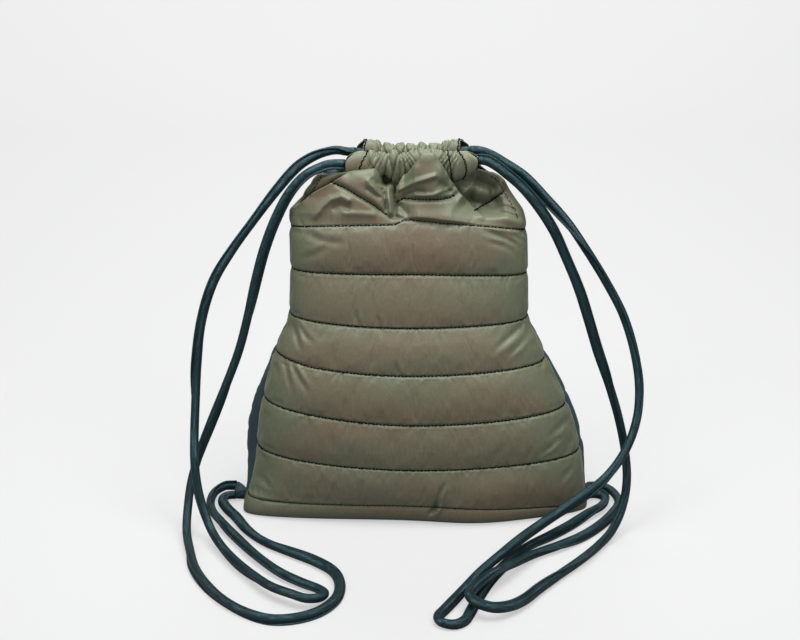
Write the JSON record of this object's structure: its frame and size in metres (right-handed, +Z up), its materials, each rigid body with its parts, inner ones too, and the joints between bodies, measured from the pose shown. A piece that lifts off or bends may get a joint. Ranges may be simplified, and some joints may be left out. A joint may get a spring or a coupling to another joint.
{
  "type": "quilted puffer backpack",
  "caption": "Soft drawstring backpack with a horizontally quilted padded front, plain twill back, gathered top casings and long cord straps that run from the casing ends to the lower corners.",
  "frame": {"origin": "centre of the bag's bounding box at the plane it rests on, measured without the free cord strands", "axes": "+Z up from the base to the mouth, -Y out of the quilted front, +X to the right in the front view, +Y out of the plain back"},
  "size_m": [0.4759, 0.3586, 0.3953],
  "materials": {
    "quilted_satin": "olive two-tone satin, padded and quilted",
    "back_twill": "dark teal fine twill",
    "cord_twill": "dark teal satin twill over a soft core"
  },
  "bodies": {
    "root": {"front_panel": "quilted_satin", "back_panel": "back_twill", "front_casing": "quilted_satin", "back_casing": "quilted_satin", "front_held_cord": "cord_twill", "back_held_cord": "cord_twill", "left_back_cord": "cord_twill", "left_front_cord": "cord_twill", "right_back_cord": "cord_twill", "right_front_cord": "cord_twill", "left_corner_tab": "back_twill", "right_corner_tab": "back_twill"}
  },
  "joints": []
}
